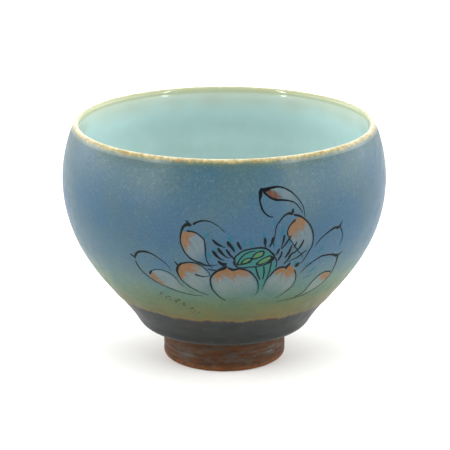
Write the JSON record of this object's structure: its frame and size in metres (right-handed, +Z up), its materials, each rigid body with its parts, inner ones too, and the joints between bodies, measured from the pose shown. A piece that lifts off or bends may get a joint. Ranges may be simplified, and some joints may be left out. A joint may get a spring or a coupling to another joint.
{
  "type": "tea cup",
  "caption": "Handleless round stoneware tea cup with an in-turned lip, a turned foot ring and a painted lotus, open at the top for tea.",
  "frame": {"origin": "on the table plane, under the middle of the foot ring", "axes": "+Z up along the cup's axis, -Y towards the painted face, +X to the right of a person who looks at the painting"},
  "size_m": [0.088, 0.0881, 0.0664],
  "materials": {
    "stoneware": "dark red-brown stoneware, unglazed",
    "liner_glaze": "glossy pale aqua glaze",
    "lip_glaze": "satin cream glaze breaking to ochre, with rust specks",
    "blue_glaze": "satin blue glaze, finely speckled",
    "olive_glaze": "satin green running to olive and amber",
    "dark_glaze": "satin near-black glaze",
    "pale_enamel": "thin pale blue-white enamel",
    "coral_enamel": "thin coral enamel",
    "ink": "near-black brushed pigment",
    "seed_head_enamel": "thin teal enamel",
    "teal_wash": "very thin teal wash",
    "iron_flecks": "brown iron flecks in the glaze",
    "seed_enamel": "thin green enamel"
  },
  "bodies": {
    "root": {"clay_bowl": "stoneware", "foot_ring": "stoneware", "liner_glaze": "liner_glaze", "lip_glaze": "lip_glaze", "blue_glaze": "blue_glaze", "olive_glaze": "olive_glaze", "dark_glaze": "dark_glaze", "petal_left_outer": "pale_enamel", "petal_left_low": "pale_enamel", "petal_left_upright": "pale_enamel", "petal_front_centre": "pale_enamel", "petal_front_right": "pale_enamel", "petal_right_upright": "pale_enamel", "petal_right_outer": "pale_enamel", "petal_top": "pale_enamel", "tip_left_outer": "coral_enamel", "tip_left_low": "coral_enamel", "tip_left_upright": "coral_enamel", "tip_front_centre": "coral_enamel", "tip_front_right": "coral_enamel", "tip_right_upright": "coral_enamel", "tip_right_outer": "coral_enamel", "tip_top": "coral_enamel", "line_left_outer": "ink", "line_left_low": "ink", "line_left_upright": "ink", "line_left_back": "ink", "line_front_centre": "ink", "line_front_right": "ink", "line_right_upright": "ink", "line_right_back": "ink", "line_right_outer": "ink", "line_top": "ink", "seed_head": "seed_head_enamel", "seeds": "seed_enamel", "seed_head_lines": "ink", "stamens_left": "ink", "stamens_right": "ink", "teal_wash": "teal_wash", "glaze_flecks": "iron_flecks"}
  },
  "joints": []
}
